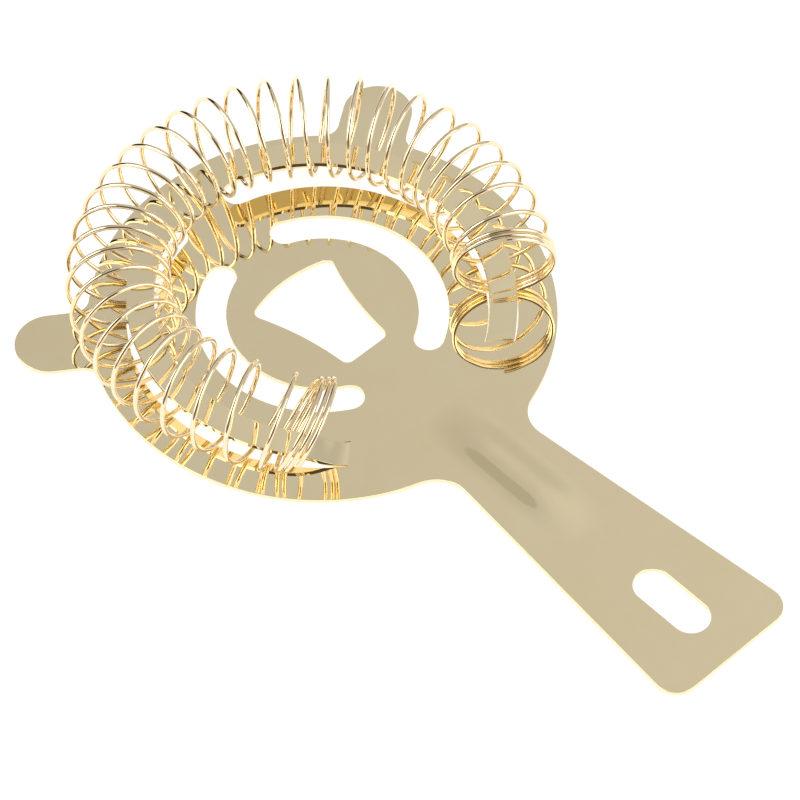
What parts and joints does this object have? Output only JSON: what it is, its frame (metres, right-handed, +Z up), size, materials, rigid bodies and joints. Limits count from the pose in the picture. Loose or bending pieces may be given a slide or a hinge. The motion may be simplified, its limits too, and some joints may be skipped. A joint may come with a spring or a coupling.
{
  "type": "hawthorne strainer",
  "caption": "Hawthorne cocktail strainer: a flat stamped plate with handle, ears and drain openings, and a coil spring threaded on two raised tongues.",
  "frame": {"origin": "on the surface that the strainer lies on, under the middle of its bounding box", "axes": "+X along the handle, away from the spring; +Z up, from the flat underside towards the spring"},
  "size_m": [0.1483, 0.0926, 0.02],
  "materials": {
    "plate_gold": "polished gold plating",
    "spring_gold": "polished gold plating"
  },
  "bodies": {
    "plate": {"strainer_plate": "plate_gold"},
    "spring": {"coil_spring": "spring_gold"}
  },
  "joints": [
    {"name": "spring_slide", "type": "hinge", "parent": "plate", "child": "spring", "pos_m": [-0.02842, 0, 0], "axis": [0, 0, 1], "range_deg": [-2, 2]}
  ]
}
